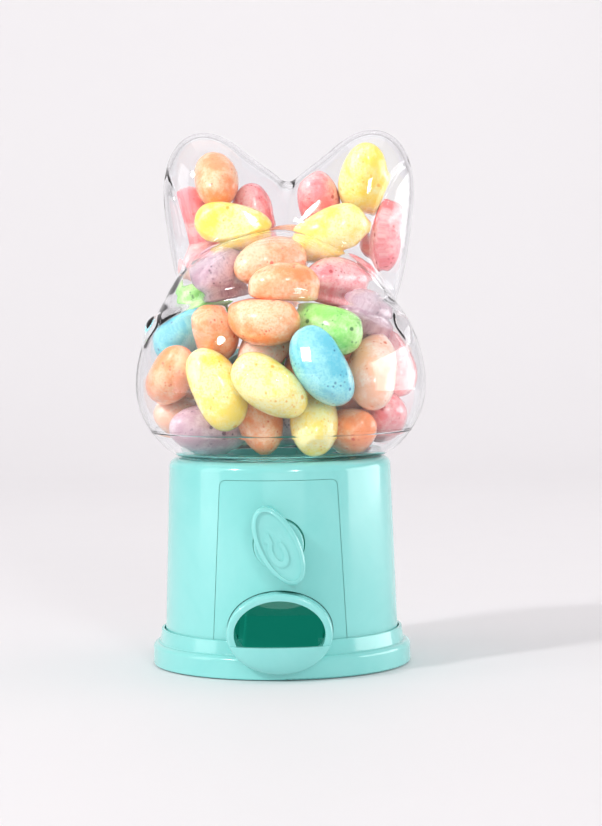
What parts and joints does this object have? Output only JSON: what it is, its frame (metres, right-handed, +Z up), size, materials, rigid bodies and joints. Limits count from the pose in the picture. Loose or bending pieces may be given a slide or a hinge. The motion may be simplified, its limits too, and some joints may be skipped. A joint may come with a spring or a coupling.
{
  "type": "gumball machine",
  "caption": "Toy gumball machine: clear animal-head globe of jelly-bean candies on a moulded base with an oval twist knob and a scoop-lipped mouth.",
  "frame": {"origin": "centre of the base's flat underside", "axes": "+Z up; the knob and the mouth face -Y; +X is to the right as seen from the front"},
  "size_m": [0.0766, 0.0736, 0.14],
  "materials": {
    "mint_plastic": "gloss injection moulding",
    "white_plastic": "satin moulding",
    "clear_plastic": "clear polished",
    "steel": "zinc plated",
    "candy_yellow": "polished sugar shell with speckles",
    "candy_orange": "polished sugar shell with speckles",
    "candy_peach": "polished sugar shell with speckles",
    "candy_pink": "polished sugar shell with speckles",
    "candy_lilac": "polished sugar shell with speckles",
    "candy_blue": "polished sugar shell with speckles",
    "candy_green": "polished sugar shell with speckles"
  },
  "bodies": {
    "base": {"base_tray": "mint_plastic", "housing": "mint_plastic", "front_panel": "mint_plastic", "chute_mouth": "mint_plastic", "chute_ramp": "mint_plastic", "hopper_funnel": "mint_plastic", "wheel_drum": "mint_plastic", "rear_bearing": "mint_plastic", "tray_screws": "steel", "drum_screws": "steel", "bearing_screws": "steel"},
    "dispensing_wheel": {"knob": "mint_plastic", "drive_shaft": "white_plastic", "metering_wheel": "mint_plastic", "shaft_washer": "steel", "shaft_screw": "steel"},
    "globe": {"globe_dish": "clear_plastic", "globe_shell": "clear_plastic", "globe_crown_left": "clear_plastic", "globe_crown_right": "clear_plastic", "candies_yellow": "candy_yellow", "candies_orange": "candy_orange", "candies_peach": "candy_peach", "candies_pink": "candy_pink", "candies_lilac": "candy_lilac", "candies_blue": "candy_blue", "candies_green": "candy_green"}
  },
  "joints": [
    {"name": "knob_turn", "type": "hinge", "parent": "base", "child": "dispensing_wheel", "pos_m": [0, 0, 0.0341], "axis": [0, 1, 0], "continuous": true},
    {"name": "globe_release", "type": "hinge", "parent": "base", "child": "globe", "pos_m": [0, 0, 0.0544], "axis": [0, 0, 1], "range_deg": [0, 40]}
  ]
}
